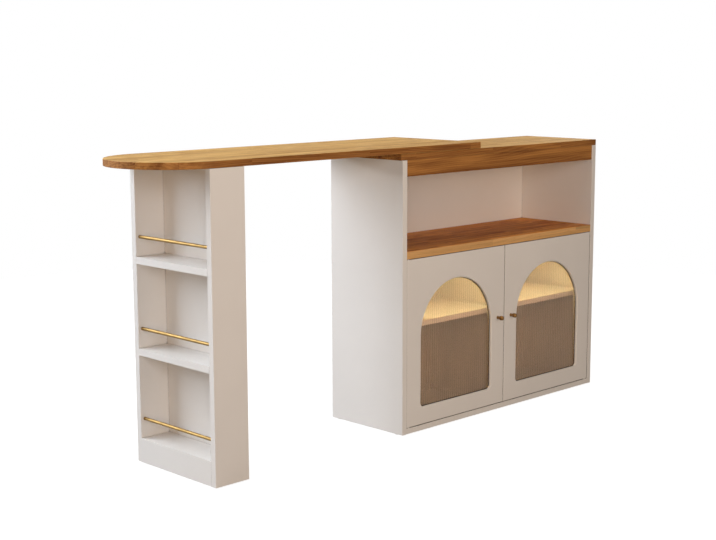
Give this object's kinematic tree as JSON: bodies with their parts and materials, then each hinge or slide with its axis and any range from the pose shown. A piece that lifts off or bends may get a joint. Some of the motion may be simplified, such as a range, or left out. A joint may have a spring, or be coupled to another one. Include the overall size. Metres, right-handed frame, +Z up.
{
  "type": "bar counter",
  "caption": "Bar counter: cabinet with arched reeded-glass doors and an open niche, and a sliding top with one round end on a narrow open shelf tower with brass rails.",
  "frame": {"origin": "On the floor, in the middle of the bounding box, with the table pulled out.", "axes": "+X runs along the counter from the round table end towards the cabinet, -Y is the side with the doors, +Z is up."},
  "size_m": [1.9209, 0.419, 0.9144],
  "materials": {
    "white_paint": "satin warm-white lacquer on board",
    "wood": "satin walnut-toned wood grain",
    "brass": "polished, lightly aged",
    "reeded_glass": "clear reeded",
    "steel": "zinc plated",
    "aluminium": "anodised",
    "lamp_lens": "opal",
    "nylon": "moulded"
  },
  "bodies": {
    "cabinet": {"back_panel": "white_paint", "bottom_panel": "white_paint", "cam_fittings": "steel", "carcass_dowels": "wood", "centre_divider": "white_paint", "fascia": "wood", "foot_glides": "nylon", "left_inner_shelf": "white_paint", "left_light_channel": "aluminium", "left_light_lens": "lamp_lens", "left_side": "white_paint", "lower_top": "wood", "magnet_catches": "nylon", "niche_shelf": "wood", "pivot_pins": "steel", "pivot_washers": "nylon", "rear_stretcher": "white_paint", "right_inner_shelf": "white_paint", "right_light_channel": "aluminium", "right_light_lens": "lamp_lens", "right_side": "white_paint", "shelf_pins": "steel", "slide_blocks": "nylon", "slide_screws": "steel"},
    "left_door": {"left_door_panel": "white_paint", "left_door_glass": "reeded_glass", "left_glass_bead": "white_paint", "left_knob": "brass", "left_knob_screw": "steel", "left_pivot_plates": "steel", "left_strike_plate": "steel"},
    "right_door": {"right_door_panel": "white_paint", "right_door_glass": "reeded_glass", "right_glass_bead": "white_paint", "right_knob": "brass", "right_knob_screw": "steel", "right_pivot_plates": "steel", "right_strike_plate": "steel"},
    "table": {"tower_dowels": "wood", "table_top": "wood", "front_track": "aluminium", "rear_track": "aluminium", "track_screws": "steel", "track_stops": "nylon", "tower_front_side": "white_paint", "tower_rear_side": "white_paint", "tower_back": "white_paint", "tower_plinth": "white_paint", "tower_bottom_shelf": "white_paint", "tower_middle_shelf": "white_paint", "tower_upper_shelf": "white_paint", "lower_rail": "brass", "middle_rail": "brass", "upper_rail": "brass", "tower_brackets": "steel", "tower_screws": "steel", "caster_forks": "steel", "caster_axles": "steel"},
    "front_wheel_body": {"front_wheel": "nylon"},
    "rear_wheel_body": {"rear_wheel": "nylon"}
  },
  "joints": [
    {"name": "left_door_hinge", "type": "hinge", "parent": "cabinet", "child": "left_door", "pos_m": [-0.0115, -0.1795, 0.292], "axis": [0, 0, -1], "range_deg": [0, 100]},
    {"name": "right_door_hinge", "type": "hinge", "parent": "cabinet", "child": "right_door", "pos_m": [0.9245, -0.1795, 0.292], "axis": [0, 0, 1], "range_deg": [0, 100]},
    {"name": "table_slide", "type": "slide", "parent": "cabinet", "child": "table", "axis": [1, 0, 0], "range_m": [0, 0.625]},
    {"name": "front_wheel_spin", "type": "hinge", "parent": "table", "child": "front_wheel_body", "pos_m": [-0.7345, -0.126, 0.02], "axis": [0, 1, 0], "range_deg": [0, 1795]},
    {"name": "rear_wheel_spin", "type": "hinge", "parent": "table", "child": "rear_wheel_body", "pos_m": [-0.7345, 0.124, 0.02], "axis": [0, 1, 0], "range_deg": [0, 1795]}
  ],
  "couplings": [
    {"joint": "front_wheel_spin", "follows": "table_slide", "rad_per_m": 50},
    {"joint": "rear_wheel_spin", "follows": "table_slide", "rad_per_m": 50}
  ]
}
